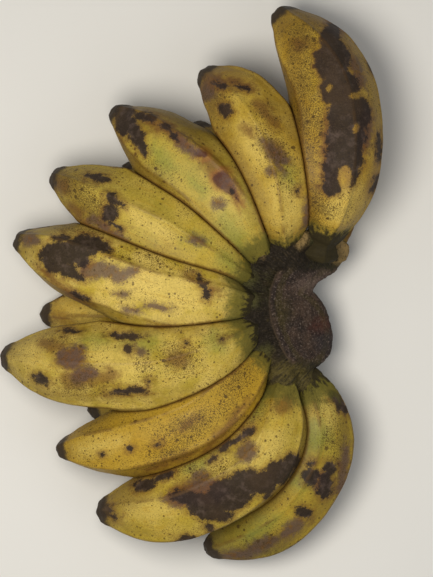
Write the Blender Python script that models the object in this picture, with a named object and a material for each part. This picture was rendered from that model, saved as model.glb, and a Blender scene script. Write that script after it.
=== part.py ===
"""A hand of short, thick, ridged cooking bananas lying on a table, convex side up.

Nine outer fruits arch over six inner ones, and all of them grow from one crescent-shaped crown that a
knife cut from the stalk. +Z is up, the table is z = 0, and the fruits spread from the crown towards -X.
"""

import math
from collections import namedtuple
from functools import partial

import bmesh
import bpy
import numpy as np

MM = 0.001

# Driving dimensions, in millimetres unless the name says otherwise.

# The point on the table under the middle of the hand, which becomes the origin.
ORIGIN = (-1.08, 0.68, 1.4)

# The cross-section: a polygon with soft corners, the ridges, in a mesh of this many sides and rings.
RIDGES = 5
RIDGE_STRENGTH = 0.55
SIDES = 20
RINGS = 20
RING_CROWDING = 0.09

# Fruits flatten one another where they press, and keep this gap, which is wider between their stalks.
CONTACT_GAP = 0.7
STALK_GAP = 1.8
STALK_GAP_SHARE = 0.3
NEIGHBOUR_DISTANCE = 30.0
EDGE_SOFTNESS = 0.05
LEAST_REACH = 0.15
CROWN_GAP = 0.35

# Radius along a fruit's body from its stalk to its blossom end: share of its length, share of its belly.
BODY = (
    (0.00, 0.37), (0.05, 0.52), (0.11, 0.69), (0.20, 0.85), (0.33, 0.95), (0.48, 1.00),
    (0.64, 0.99), (0.77, 0.87), (0.87, 0.63), (0.935, 0.41), (0.972, 0.30), (0.99, 0.19), (1.00, 0.00),
)
STALK_RADIUS = 0.32
STALK_ROUND_END = 0.2
STALK_STRAIGHT_END = 0.9

# Each fruit: the points its centreline runs through from its root in the crown to its blossom end, its
# belly radius, the share of its length that is stalk, and how many degrees its ridges are turned from up.
Fruit = namedtuple("Fruit", "line belly stalk turn")
FRUITS = {
    "banana_outer_1": Fruit(
        ((68, 13, 40), (73, 29, 47), (80, 69, 57), (76, 107, 51), (47, 153, 36)), 24.5, 0.10, 20),
    "banana_outer_2": Fruit(
        ((52, 10, 42), (50, 25, 50), (45, 59, 59), (28, 97, 53), (5, 118, 40)), 20.5, 0.11, 0),
    "banana_outer_3": Fruit(
        ((45, 6, 41), (35, 20, 49), (9, 56, 58), (-18, 77, 51), (-44, 97, 36)), 21.0, 0.10, 30),
    "banana_outer_4": Fruit(
        ((41, 0, 38), (27, 6, 48), (-11, 29, 59), (-44, 45, 52), (-78, 61, 37)), 20.0, 0.10, 10),
    "banana_outer_5": Fruit(
        ((40, -10, 43), (26, -9, 54), (-18, -3, 62), (-56, 10, 55), (-98, 26, 38)), 22.5, 0.09, 25),
    "banana_outer_6": Fruit(
        ((41, -20, 43), (28, -26, 54), (-15, -42, 62), (-59, -44, 55), (-106, -39, 38)), 23.5, 0.09, 5),
    "banana_outer_7": Fruit(
        ((47, -29, 38), (36, -41, 47), (9, -69, 57), (-31, -85, 50), (-75, -91, 36)), 20.0, 0.10, 30),
    "banana_outer_8": Fruit(
        ((49, -37, 40), (49, -55, 46), (38, -90, 53), (-1, -117, 46), (-53, -126, 31)), 23.5, 0.12, 15),
    "banana_outer_9": Fruit(
        ((57, -43, 35), (66, -61, 36), (70, -86, 33), (51, -122, 26), (7, -149, 18)), 21.0, 0.05, 0),
    "banana_inner_1": Fruit(
        ((73, 13, 33), (75, 23, 27), (78, 50, 18), (79, 82, 15.5), (66, 122, 11)), 17.0, 0.05, 5),
    "banana_inner_2": Fruit(
        ((45, 5, 26), (38, 18, 23), (26, 44, 17), (12, 72, 16), (0, 91, 12)), 17.5, 0.10, 5),
    "banana_inner_3": Fruit(
        ((40, -2, 26), (31, 4, 23), (4, 33, 17), (-18, 51, 16), (-40, 67, 12)), 17.5, 0.10, -5),
    "banana_inner_4": Fruit(
        ((38, -15, 26), (26, -16, 23), (-12, -18, 18), (-51, -17, 17), (-86, -16, 12)), 18.5, 0.10, 0),
    "banana_inner_5": Fruit(
        ((40, -24, 26), (29, -33, 23), (1, -55, 17), (-29, -65, 16), (-59, -70, 12)), 17.5, 0.10, 5),
    "banana_inner_6": Fruit(
        ((46, -33, 26), (43, -49, 23), (24, -80, 16.5), (-8, -98, 15.5), (-30, -107, 12)), 17.0, 0.10, -5),
}

# The crown: the points its crescent runs through, each with its half width and half height.
CROWN_SPINE = ((88, 19, 36), (70, 16, 38), (50, -3, 38), (59, -28, 36), (57, -52, 34))
CROWN_HALF_WIDTH = (10, 12, 14, 20, 8)
CROWN_HALF_HEIGHT = (14, 19, 21, 21, 16)
CROWN_END_ROUNDING = 0.12
CROWN_SIDES = 24
CROWN_RINGS = 18

# The knife's path: a round cut, hollow towards +X and +Z, that takes off the side nearest the stalk.
KNIFE_RADIUS = 75.0
KNIFE_LENGTH = 220.0
KNIFE_POINT = (46.0, -14.0, 54.0)
KNIFE_TILT_DEG = 50.0
KNIFE_SEGMENTS = 64

# How finely curves are read: points for a length, points for a distance, and the step for a direction.
LENGTH_SAMPLES = 400
CURVE_SAMPLES = 90
DIRECTION_STEP = 0.004
HALVINGS = 12

PEEL_COLOUR = (0.60, 0.44, 0.11, 1.0)
PEEL_ROUGHNESS = 0.45
CROWN_COLOUR = (0.055, 0.042, 0.032, 1.0)
CROWN_ROUGHNESS = 0.85


def clear_scene():
    for obj in list(bpy.data.objects):
        bpy.data.objects.remove(obj)


def material(name, colour, roughness):
    made = bpy.data.materials.new(name)
    made.use_nodes = True
    shader = made.node_tree.nodes["Principled BSDF"]
    shader.inputs["Base Color"].default_value = colour
    shader.inputs["Roughness"].default_value = roughness
    shader.inputs["Metallic"].default_value = 0.0
    return made


def through(knots, values, at):
    """Values of a smooth curve that passes through `values` at the parameters `knots`."""
    knots = np.asarray(knots, float)
    values = np.asarray(values, float).reshape(len(knots), -1)
    steps = np.diff(knots)[:, None]
    slopes = np.diff(values, axis=0) / steps
    inner = (slopes[:-1] * steps[1:] + slopes[1:] * steps[:-1]) / (steps[:-1] + steps[1:])
    tangents = np.vstack([slopes[:1], inner, slopes[-1:]])
    span = np.clip(np.searchsorted(knots, at, side="right") - 1, 0, len(knots) - 2)
    step = steps[span]
    t = (np.asarray(at)[:, None] - knots[span][:, None]) / step
    return (
        (2 * t**3 - 3 * t**2 + 1) * values[span]
        + (t**3 - 2 * t**2 + t) * step * tangents[span]
        + (3 * t**2 - 2 * t**3) * values[span + 1]
        + (t**3 - t**2) * step * tangents[span + 1]
    )


def along(points, values, shares):
    """Values at these shares of the length of a smooth curve through `points`; the points have `values`."""
    points = np.asarray(points, float)
    knots = np.concatenate([[0.0], np.cumsum(np.linalg.norm(np.diff(points, axis=0), axis=1))])
    fine = np.linspace(0, knots[-1], LENGTH_SAMPLES)
    dense = through(knots, points, fine)
    lengths = np.concatenate([[0.0], np.cumsum(np.linalg.norm(np.diff(dense, axis=0), axis=1))])
    wanted = np.interp(np.asarray(shares) * lengths[-1], lengths, fine)
    return through(knots, values, wanted)


def frames_along(points, shares):
    """At these shares of a curve's length: its points, and the level and upward directions across it."""
    centres = along(points, points, shares)
    ahead = along(points, points, np.minimum(shares + DIRECTION_STEP, 1.0))
    behind = along(points, points, np.maximum(shares - DIRECTION_STEP, 0.0))
    tangents = (ahead - behind) / np.linalg.norm(ahead - behind, axis=1)[:, None]
    sides = np.cross((0.0, 0.0, 1.0), tangents)
    sides /= np.linalg.norm(sides, axis=1)[:, None]
    return centres, sides, np.cross(tangents, sides)


def radius_at(name, shares):
    """A fruit's radius over its ridges, at these shares of its length."""
    fruit = FRUITS[name]
    stalk = [0.0, STALK_ROUND_END * fruit.stalk, STALK_STRAIGHT_END * fruit.stalk]
    body = [fruit.stalk + (1 - fruit.stalk) * place for place, _ in BODY]
    radii = [0.0, STALK_RADIUS, STALK_RADIUS] + [radius for _, radius in BODY]
    return fruit.belly * through(stalk + body, radii, shares)[:, 0]


def ridged(angles):
    """The cross-section's radius at these angles from a ridge: a soft polygon with its corners at 1."""
    half = math.pi / RIDGES
    from_face = np.mod(angles, 2 * half) - half
    polygon = math.cos(half) / np.cos(from_face)
    return RIDGE_STRENGTH * polygon + (1 - RIDGE_STRENGTH)


def fruit_skin(name, angles, shares):
    """A fruit's centreline points and skin points at these angles round it and shares of its length."""
    centres, sides, ups = frames_along(FRUITS[name].line, shares)
    radii = radius_at(name, shares) * ridged(angles)
    turned = angles + math.radians(90 + FRUITS[name].turn)
    across = np.cos(turned)[:, None] * sides + np.sin(turned)[:, None] * ups
    return centres, centres + radii[:, None] * across


def centreline(name):
    """Evenly spaced points of a fruit's centreline, with its radius at each."""
    line = FRUITS[name].line
    shares = np.linspace(0, 1, CURVE_SAMPLES)
    return along(line, line, shares), radius_at(name, shares)


def distance_outside(points, name):
    """How far each point lies outside a plain round fruit: below zero inside it."""
    centres, radii = centreline(name)
    gaps = np.linalg.norm(points[:, None, :] - centres[None, :, :], axis=2)
    nearest = gaps.argmin(axis=1)
    return gaps[np.arange(len(points)), nearest] - radii[nearest]


def neighbours(name):
    """The fruits whose centrelines come close enough to a fruit's side to press on it."""
    others = [other for other in FRUITS if other != name]
    return [
        other for other in others
        if distance_outside(centreline(other)[0], name).min() < NEIGHBOUR_DISTANCE
    ]


def reach_beside(centres, skin, gaps, own, other):
    """The share of its way out from the centre that each skin point may go before it meets a neighbour."""
    def past(share):
        at = centres + share[:, None] * (skin - centres)
        return distance_outside(at, own) - distance_outside(at, other) > -gaps / 2

    low = np.full(len(skin), LEAST_REACH)
    high = np.full(len(skin), 1 + EDGE_SOFTNESS)
    free = ~past(high)
    for _ in range(HALVINGS):
        middle = (low + high) / 2
        over = past(middle)
        low, high = np.where(over, low, middle), np.where(over, middle, high)
    return np.where(free, 1 + EDGE_SOFTNESS, low)


def soft_least(first, second):
    """The smaller of two shares, rounded off where they are nearly equal."""
    near = np.maximum(EDGE_SOFTNESS - np.abs(first - second), 0) / EDGE_SOFTNESS
    return np.minimum(first, second) - near**2 * EDGE_SOFTNESS / 4


def pressed_skin(name, angles, shares):
    """The skin with its sides flattened where it presses on other fruits, and where it lies on the table."""
    centres, skin = fruit_skin(name, angles, shares)
    reach = np.ones(len(skin))
    near_root = np.clip(1 - shares / STALK_GAP_SHARE, 0, 1)
    gaps = CONTACT_GAP + (STALK_GAP - CONTACT_GAP) * near_root
    for other in neighbours(name):
        reach = soft_least(reach, reach_beside(centres, skin, gaps, name, other))
    skin = centres + reach[:, None] * (skin - centres)
    table = ORIGIN[2]
    below = skin[:, 2] < table
    to_table = (centres[below, 2] - table) / (centres[below, 2] - skin[below, 2])
    skin[below] = centres[below] + to_table[:, None] * (skin[below] - centres[below])
    skin[below, 2] = table
    return skin


def crown_skin(angles, shares, grow):
    """The crescent's surface, `grow` outside its true size."""
    centres, sides, ups = frames_along(CROWN_SPINE, shares)
    widths = along(CROWN_SPINE, CROWN_HALF_WIDTH, shares)[:, 0] + grow
    heights = along(CROWN_SPINE, CROWN_HALF_HEIGHT, shares)[:, 0] + grow
    to_end = np.minimum(shares, 1 - shares) / CROWN_END_ROUNDING
    rounding = np.sqrt(np.clip(1 - np.clip(1 - to_end, 0, 1) ** 2, 0, 1))
    across = (widths * np.cos(angles))[:, None] * sides + (heights * np.sin(angles))[:, None] * ups
    return centres + rounding[:, None] * across


def warped_ball(name, sides, rings, skin_at):
    """A ball whose points are moved onto a skin: its poles become the two ends, its rings go round it."""
    bm = bmesh.new()
    bmesh.ops.create_uvsphere(bm, u_segments=sides, v_segments=rings, radius=1.0)
    ball = np.array([v.co for v in bm.verts])
    angles = np.arctan2(ball[:, 1], ball[:, 0])
    even = 1 - np.arccos(np.clip(ball[:, 2], -1, 1)) / math.pi
    shares = even - RING_CROWDING * np.sin(2 * math.pi * even)
    for vert, place in zip(bm.verts, skin_at(angles, shares)):
        vert.co = (place - ORIGIN) * MM
    mesh = bpy.data.meshes.new(name)
    bm.to_mesh(mesh)
    bm.free()
    mesh.shade_smooth()
    obj = bpy.data.objects.new(name, mesh)
    bpy.context.scene.collection.objects.link(obj)
    return obj


def cut(obj, cutter):
    modifier = obj.modifiers.new("Cut", "BOOLEAN")
    modifier.operation = "DIFFERENCE"
    modifier.object = cutter


def helper(obj):
    obj.hide_render = True
    obj.display_type = "WIRE"
    return obj


def make_fruit(name, peel, socket):
    obj = warped_ball(name, SIDES, RINGS, partial(pressed_skin, name))
    obj.data.materials.append(peel)
    cut(obj, socket)


def make_knife():
    """A cylinder along the knife's stroke, whose surface leaves the crown's hollow, slanted face."""
    bm = bmesh.new()
    radius = KNIFE_RADIUS * MM
    bmesh.ops.create_cone(
        bm, cap_ends=True, segments=KNIFE_SEGMENTS, radius1=radius, radius2=radius, depth=KNIFE_LENGTH * MM
    )
    mesh = bpy.data.meshes.new("knife_path")
    bm.to_mesh(mesh)
    bm.free()
    knife = bpy.data.objects.new("knife_path", mesh)
    bpy.context.scene.collection.objects.link(knife)
    tilt = math.radians(KNIFE_TILT_DEG)
    outward = np.array((math.cos(tilt), 0.0, math.sin(tilt)))
    knife.location = (np.array(KNIFE_POINT) + KNIFE_RADIUS * outward - ORIGIN) * MM
    knife.rotation_euler = (0.0, -tilt, 0.0)
    return helper(knife)


def make_crown(name, grow):
    return warped_ball(name, CROWN_SIDES, CROWN_RINGS, partial(crown_skin, grow=grow))


def main():
    clear_scene()
    crown = make_crown("crown", 0.0)
    crown.data.materials.append(material("crown", CROWN_COLOUR, CROWN_ROUGHNESS))
    cut(crown, make_knife())
    socket = helper(make_crown("crown_socket", CROWN_GAP))
    peel = material("peel", PEEL_COLOUR, PEEL_ROUGHNESS)
    for name in FRUITS:
        make_fruit(name, peel, socket)


main()
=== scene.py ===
# %% [markdown]
# # A hand of cooking bananas
#
# The object is one whole hand of short, thick, ridged bananas, cut from its stalk. It lies on a table with
# its convex side up, as on a market stall. The peel is ripe and handled: yellow, with cream and olive
# areas, brown freckles, purple-black bruises, dark tips and a dark, dry crown.
#
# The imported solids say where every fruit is. They are coarse, so each one is rebuilt here from the same
# centreline and the same cross-section with many more points, and then it gets its peel.

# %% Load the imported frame
import math
import random
from collections import namedtuple
from functools import partial

import bmesh
import bpy
import numpy as np
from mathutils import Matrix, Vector, noise


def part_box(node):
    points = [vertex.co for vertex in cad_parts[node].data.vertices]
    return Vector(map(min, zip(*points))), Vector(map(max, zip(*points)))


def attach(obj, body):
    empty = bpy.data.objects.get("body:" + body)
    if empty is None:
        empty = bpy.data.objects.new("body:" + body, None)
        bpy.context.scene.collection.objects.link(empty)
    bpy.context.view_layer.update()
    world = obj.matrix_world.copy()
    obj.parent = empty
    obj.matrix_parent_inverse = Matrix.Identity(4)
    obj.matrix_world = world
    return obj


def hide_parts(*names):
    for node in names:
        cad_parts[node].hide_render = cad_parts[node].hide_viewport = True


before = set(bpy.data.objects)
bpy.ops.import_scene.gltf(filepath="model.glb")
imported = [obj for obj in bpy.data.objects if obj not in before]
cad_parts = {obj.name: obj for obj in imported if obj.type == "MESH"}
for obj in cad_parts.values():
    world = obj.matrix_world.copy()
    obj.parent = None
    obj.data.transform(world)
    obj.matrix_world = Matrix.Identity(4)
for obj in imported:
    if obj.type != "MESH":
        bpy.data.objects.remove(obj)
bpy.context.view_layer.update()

# %% [markdown]
# ## The camera
#
# The photograph looks straight down on the hand. All places below are in millimetres, and one pixel of the
# photograph covers 0.55 mm at the height where the fruits are widest. A perspective camera stands
# 1.6 m above that height, so that high fruits look a little larger than low ones, as they do in the photo.

# %% Stand the camera over the hand
MM = 0.001
PHOTO_WIDTH, PHOTO_HEIGHT = 433, 577
MM_PER_PIXEL = 0.55
HAND_PIXEL = np.array((190.5, 284.3))
SHARP_HEIGHT = 43.6
CAMERA_DISTANCE = 1600.0
SENSOR = 36.0


def new_object(name, data):
    """A new object in the scene."""
    obj = bpy.data.objects.new(name, data)
    bpy.context.scene.collection.objects.link(obj)
    return obj


photo_centre = np.array((PHOTO_WIDTH, PHOTO_HEIGHT)) / 2
camera_place = np.array((
    (photo_centre[0] - HAND_PIXEL[0]) * MM_PER_PIXEL,
    (HAND_PIXEL[1] - photo_centre[1]) * MM_PER_PIXEL,
    SHARP_HEIGHT + CAMERA_DISTANCE,
))

camera_data = bpy.data.cameras.new("camera")
camera_data.sensor_width = SENSOR
camera_data.lens = SENSOR * CAMERA_DISTANCE / (PHOTO_HEIGHT * MM_PER_PIXEL)
camera = new_object("camera", camera_data)
camera.location = camera_place * MM
bpy.context.scene.camera = camera


def seen_at(points):
    """The pixels of the photograph at which these points, in millimetres, are seen."""
    scale = CAMERA_DISTANCE / (camera_place[2] - points[:, 2]) / MM_PER_PIXEL
    away = (points[:, :2] - camera_place[:2]) * scale[:, None]
    return photo_centre + away * (1, -1)


print("lens:", round(camera_data.lens, 1), "mm; origin seen at", seen_at(np.zeros((1, 3)))[0].round(1))

# %% [markdown]
# ## Light and table
#
# The photograph is bright at the left of the hand and dimmer towards the upper and lower right, and the
# sides of the fruits are dark. So one soft lamp hangs close above the left side, and a weak one fills in
# from far off at the right. The table is a plain, pale, matt surface. The Standard view keeps the colours
# as they are mixed.

# %% Light the table
Light = namedtuple("Light", "place width watts colour")
LIGHTS = {
    "overhead": Light((-110, -25, 640), 300, 3.0, (1.0, 0.96, 0.89)),
    "fill": Light((600, -450, 900), 900, 1.6, (0.92, 0.95, 1.0)),
}
SKY_COLOUR = (0.95, 0.97, 1.0, 1.0)
SKY_STRENGTH = 0.3
for name, (place, width, watts, colour) in LIGHTS.items():
    lamp = bpy.data.lights.new(name, "AREA")
    lamp.shape = "DISK"
    lamp.size = width * MM
    lamp.energy = watts
    lamp.color = colour
    light = new_object(name, lamp)
    light.location = Vector(place) * MM
    light.rotation_euler = (-light.location).to_track_quat("-Z", "Y").to_euler()

world = bpy.data.worlds.new("studio")
world.use_nodes = True
sky = world.node_tree.nodes["Background"]
sky.inputs["Color"].default_value = SKY_COLOUR
sky.inputs["Strength"].default_value = SKY_STRENGTH
bpy.context.scene.world = world
bpy.context.scene.view_settings.view_transform = "Standard"
print("lights:", ", ".join(LIGHTS))

# %% [markdown]
# ## Small helpers for materials
#
# A node material reads best when each line says what is mixed with what. These helpers each add one node
# and give back its output.

# %% Helpers for nodes


def fill(tree, socket, value):
    """Links another node's output to an input, or writes a plain value into it."""
    if isinstance(value, bpy.types.NodeSocket):
        tree.links.new(value, socket)
    else:
        socket.default_value = value


def sockets(tree, kind, inputs, **settings):
    """A new node with its settings made and its inputs linked or filled in."""
    made = tree.nodes.new(kind)
    for key, value in settings.items():
        setattr(made, key, value)
    for key, value in inputs.items():
        fill(tree, made.inputs[key], value)
    return made


def attribute(tree, name, output="Fac"):
    """What is stored with each point under this name."""
    return sockets(tree, "ShaderNodeAttribute", {}, attribute_name=name).outputs[output]


def calc(tree, operation, first, second=0.0):
    return sockets(tree, "ShaderNodeMath", {0: first, 1: second}, operation=operation).outputs[0]


def fade(tree, value, start, end, low=0.0, high=1.0):
    """`low` where the value is at `start`, `high` where it is at `end`, and smooth in between."""
    inputs = {"Value": value, "From Min": start, "From Max": end, "To Min": low, "To Max": high}
    return sockets(tree, "ShaderNodeMapRange", inputs, interpolation_type="SMOOTHSTEP").outputs[0]


def mixed(tree, share, base, added, blend="MIX"):
    """One colour laid over another."""
    made = sockets(tree, "ShaderNodeMix", {}, data_type="RGBA", blend_type=blend)
    for key, value in (("Factor_Float", share), ("A_Color", base), ("B_Color", added)):
        fill(tree, next(s for s in made.inputs if s.identifier == key), value)
    return next(s for s in made.outputs if s.identifier == "Result_Color")


def cloud(tree, place, scale, detail=3.0, roughness=0.55):
    """A cloudy noise between 0 and 1, finer with a larger scale."""
    inputs = {"Vector": place, "Scale": scale, "Detail": detail, "Roughness": roughness}
    return sockets(tree, "ShaderNodeTexNoise", inputs).outputs["Fac"]


def rgb(red, green, blue):
    """A colour as a screen shows it, 0 to 255, turned into the light values that a shader needs."""
    parts = [c / 255 for c in (red, green, blue)]
    return tuple(c / 12.92 if c <= 0.04045 else ((c + 0.055) / 1.055) ** 2.4 for c in parts) + (1.0,)


# %% A pale table
TABLE_SIZE = 4.0
TABLE_GREY = rgb(224, 221, 214)
TABLE_WHITE = rgb(230, 228, 222)
TABLE_CLOUD = 3.0
TABLE_ROUGHNESS = 0.9
table_material = bpy.data.materials.new("pale_table")
table_material.use_nodes = True
tree = table_material.node_tree
place = sockets(tree, "ShaderNodeTexCoord", {}).outputs["Object"]
table_shader = tree.nodes["Principled BSDF"]
table_colour = mixed(tree, cloud(tree, place, TABLE_CLOUD), TABLE_GREY, TABLE_WHITE)
fill(tree, table_shader.inputs["Base Color"], table_colour)
fill(tree, table_shader.inputs["Roughness"], TABLE_ROUGHNESS)

bm = bmesh.new()
bmesh.ops.create_grid(bm, x_segments=1, y_segments=1, size=TABLE_SIZE / 2)
table_mesh = bpy.data.meshes.new("table")
bm.to_mesh(table_mesh)
bm.free()
table_mesh.materials.append(table_material)
table = new_object("table", table_mesh)

# %% [markdown]
# ## The shape of a fruit
#
# Each fruit is a warped ball: its centreline is a smooth curve through five points, its radius follows one
# profile from stalk to blossom end, and its cross-section is a five-sided polygon with soft corners, the
# ridges. These are the same dimensions as the solids have, in millimetres, and ORIGIN is where the frame's
# origin lies among them.
#
# BODY gives the profile: shares of the way from stalk to tip, with the radius as a share of the belly's. A
# fruit has the points of its line, the radius of its belly, the share of its length that is stalk, and the
# degrees by which its ridges are turned.

# %% Dimensions of the fruits
ORIGIN = np.array((-1.08, 0.68, 1.4))
RIDGES = 5
RIDGE_STRENGTH = 0.55
BODY = (
    (0.00, 0.37), (0.05, 0.52), (0.11, 0.69), (0.20, 0.85), (0.33, 0.95), (0.48, 1.00),
    (0.64, 0.99), (0.77, 0.87), (0.87, 0.63), (0.935, 0.41), (0.972, 0.30), (0.99, 0.19), (1.00, 0.00),
)
STALK_RADIUS = 0.32
STALK_ROUND_END = 0.2
STALK_STRAIGHT_END = 0.9
Fruit = namedtuple("Fruit", "line belly stalk turn")
FRUITS = {
    "banana_outer_1": Fruit(
        ((68, 13, 40), (73, 29, 47), (80, 69, 57), (76, 107, 51), (47, 153, 36)), 24.5, 0.10, 20),
    "banana_outer_2": Fruit(
        ((52, 10, 42), (50, 25, 50), (45, 59, 59), (28, 97, 53), (5, 118, 40)), 20.5, 0.11, 0),
    "banana_outer_3": Fruit(
        ((45, 6, 41), (35, 20, 49), (9, 56, 58), (-18, 77, 51), (-44, 97, 36)), 21.0, 0.10, 30),
    "banana_outer_4": Fruit(
        ((41, 0, 38), (27, 6, 48), (-11, 29, 59), (-44, 45, 52), (-78, 61, 37)), 20.0, 0.10, 10),
    "banana_outer_5": Fruit(
        ((40, -10, 43), (26, -9, 54), (-18, -3, 62), (-56, 10, 55), (-98, 26, 38)), 22.5, 0.09, 25),
    "banana_outer_6": Fruit(
        ((41, -20, 43), (28, -26, 54), (-15, -42, 62), (-59, -44, 55), (-106, -39, 38)), 23.5, 0.09, 5),
    "banana_outer_7": Fruit(
        ((47, -29, 38), (36, -41, 47), (9, -69, 57), (-31, -85, 50), (-75, -91, 36)), 20.0, 0.10, 30),
    "banana_outer_8": Fruit(
        ((49, -37, 40), (49, -55, 46), (38, -90, 53), (-1, -117, 46), (-53, -126, 31)), 23.5, 0.12, 15),
    "banana_outer_9": Fruit(
        ((57, -43, 35), (66, -61, 36), (70, -86, 33), (51, -122, 26), (7, -149, 18)), 21.0, 0.05, 0),
    "banana_inner_1": Fruit(
        ((73, 13, 33), (75, 23, 27), (78, 50, 18), (79, 82, 15.5), (66, 122, 11)), 17.0, 0.05, 5),
    "banana_inner_2": Fruit(
        ((45, 5, 26), (38, 18, 23), (26, 44, 17), (12, 72, 16), (0, 91, 12)), 17.5, 0.10, 5),
    "banana_inner_3": Fruit(
        ((40, -2, 26), (31, 4, 23), (4, 33, 17), (-18, 51, 16), (-40, 67, 12)), 17.5, 0.10, -5),
    "banana_inner_4": Fruit(
        ((38, -15, 26), (26, -16, 23), (-12, -18, 18), (-51, -17, 17), (-86, -16, 12)), 18.5, 0.10, 0),
    "banana_inner_5": Fruit(
        ((40, -24, 26), (29, -33, 23), (1, -55, 17), (-29, -65, 16), (-59, -70, 12)), 17.5, 0.10, 5),
    "banana_inner_6": Fruit(
        ((46, -33, 26), (43, -49, 23), (24, -80, 16.5), (-8, -98, 15.5), (-30, -107, 12)), 17.0, 0.10, -5),
}
print(len(FRUITS), "fruits")

# %% Curves through points
LENGTH_SAMPLES = 400
DIRECTION_STEP = 0.004


def through(knots, values, at):
    """Values of a smooth curve that passes through `values` at the parameters `knots`."""
    knots = np.asarray(knots, float)
    values = np.asarray(values, float).reshape(len(knots), -1)
    steps = np.diff(knots)[:, None]
    slopes = np.diff(values, axis=0) / steps
    inner = (slopes[:-1] * steps[1:] + slopes[1:] * steps[:-1]) / (steps[:-1] + steps[1:])
    tangents = np.vstack([slopes[:1], inner, slopes[-1:]])
    span = np.clip(np.searchsorted(knots, at, side="right") - 1, 0, len(knots) - 2)
    step = steps[span]
    t = (np.asarray(at)[:, None] - knots[span][:, None]) / step
    return (
        (2 * t**3 - 3 * t**2 + 1) * values[span]
        + (t**3 - 2 * t**2 + t) * step * tangents[span]
        + (3 * t**2 - 2 * t**3) * values[span + 1]
        + (t**3 - t**2) * step * tangents[span + 1]
    )


def along(points, values, shares):
    """Values at these shares of the length of a smooth curve through `points`; the points have `values`."""
    points = np.asarray(points, float)
    knots = np.concatenate([[0.0], np.cumsum(np.linalg.norm(np.diff(points, axis=0), axis=1))])
    fine = np.linspace(0, knots[-1], LENGTH_SAMPLES)
    dense = through(knots, points, fine)
    lengths = np.concatenate([[0.0], np.cumsum(np.linalg.norm(np.diff(dense, axis=0), axis=1))])
    wanted = np.interp(np.asarray(shares) * lengths[-1], lengths, fine)
    return through(knots, values, wanted)


def frames_along(points, shares):
    """At these shares of a curve's length: its points, and the level and upward directions across it."""
    centres = along(points, points, shares)
    ahead = along(points, points, np.minimum(shares + DIRECTION_STEP, 1.0))
    behind = along(points, points, np.maximum(shares - DIRECTION_STEP, 0.0))
    tangents = (ahead - behind) / np.linalg.norm(ahead - behind, axis=1)[:, None]
    sides = np.cross((0.0, 0.0, 1.0), tangents)
    sides /= np.linalg.norm(sides, axis=1)[:, None]
    return centres, sides, np.cross(tangents, sides)


def around(angles, sides, ups):
    """The directions across a curve at these angles, counted from its level direction."""
    return np.cos(angles)[:, None] * sides + np.sin(angles)[:, None] * ups


# %% The skin of one fruit on its own
def radius_at(name, shares):
    """A fruit's radius over its ridges, at these shares of its length."""
    fruit = FRUITS[name]
    stalk = [0.0, STALK_ROUND_END * fruit.stalk, STALK_STRAIGHT_END * fruit.stalk]
    body = [fruit.stalk + (1 - fruit.stalk) * place for place, _ in BODY]
    radii = [0.0, STALK_RADIUS, STALK_RADIUS] + [radius for _, radius in BODY]
    return fruit.belly * through(stalk + body, radii, shares)[:, 0]


def ridged(angles):
    """The cross-section's radius at these angles from a ridge: a soft polygon with its corners at 1."""
    half = math.pi / RIDGES
    from_face = np.mod(angles, 2 * half) - half
    polygon = math.cos(half) / np.cos(from_face)
    return RIDGE_STRENGTH * polygon + (1 - RIDGE_STRENGTH)


def fruit_skin(name, angles, shares):
    """A fruit's centreline points and skin points at these angles round it and shares of its length."""
    centres, sides, ups = frames_along(FRUITS[name].line, shares)
    radii = radius_at(name, shares) * ridged(angles)
    turned = angles + math.radians(90 + FRUITS[name].turn)
    return centres, centres + radii[:, None] * around(turned, sides, ups)


# %% [markdown]
# ## Fruits that grew against each other
#
# Bananas of a hand press on their neighbours while they grow, so their sides are flattened where they meet.
# First each skin swells a little beside a neighbour, as a soft thing does next to a pressed spot. Then each
# skin point is drawn back towards its own centreline until it is no nearer to the neighbour than to its own
# fruit. That gives two matching flat sides with a thin dark crease between them.

# %% Press the fruits together
CURVE_SAMPLES = 90
CONTACT_GAP = 0.1
NEIGHBOUR_DISTANCE = 30.0
EDGE_SOFTNESS = 0.035
LEAST_REACH = 0.15
HALVINGS = 11
SWELL_SHARE = 0.17
SWELL_REACH = 6.0
SWELL_FREE_ENDS = 0.12


def centreline(name):
    """Evenly spaced points of a fruit's centreline, with its radius at each."""
    line = FRUITS[name].line
    shares = np.linspace(0, 1, CURVE_SAMPLES)
    return along(line, line, shares), radius_at(name, shares)


CENTRELINES = {name: centreline(name) for name in FRUITS}
LENGTHS = {
    name: np.linalg.norm(np.diff(centres, axis=0), axis=1).sum()
    for name, (centres, _) in CENTRELINES.items()
}


def distance_outside(points, name):
    """How far each point lies outside a plain round fruit: below zero inside it."""
    centres, radii = CENTRELINES[name]
    squares = (points**2).sum(axis=1)[:, None] + (centres**2).sum(axis=1)[None, :] - 2 * points @ centres.T
    nearest = squares.argmin(axis=1)
    gaps = np.sqrt(np.maximum(squares[np.arange(len(points)), nearest], 0))
    return gaps - radii[nearest]


def neighbours(name):
    """The fruits whose centrelines come close enough to a fruit's side to press on it."""
    others = [other for other in FRUITS if other != name]
    return [
        other for other in others
        if distance_outside(CENTRELINES[other][0], name).min() < NEIGHBOUR_DISTANCE
    ]


def reach_beside(centres, skin, own, other):
    """The share of its way out from the centre that each skin point may go before it meets a neighbour."""
    def past(share, rows):
        at = centres[rows] + share[:, None] * (skin[rows] - centres[rows])
        return distance_outside(at, own) - distance_outside(at, other) > -CONTACT_GAP / 2

    furthest = 1 + EDGE_SOFTNESS
    reach = np.full(len(skin), furthest)
    rows = np.where(past(reach, np.arange(len(skin))))[0]
    low = np.full(len(rows), LEAST_REACH)
    high = np.full(len(rows), furthest)
    for _ in range(HALVINGS):
        middle = (low + high) / 2
        over = past(middle, rows)
        low, high = np.where(over, low, middle), np.where(over, middle, high)
    reach[rows] = low
    return reach


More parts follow.
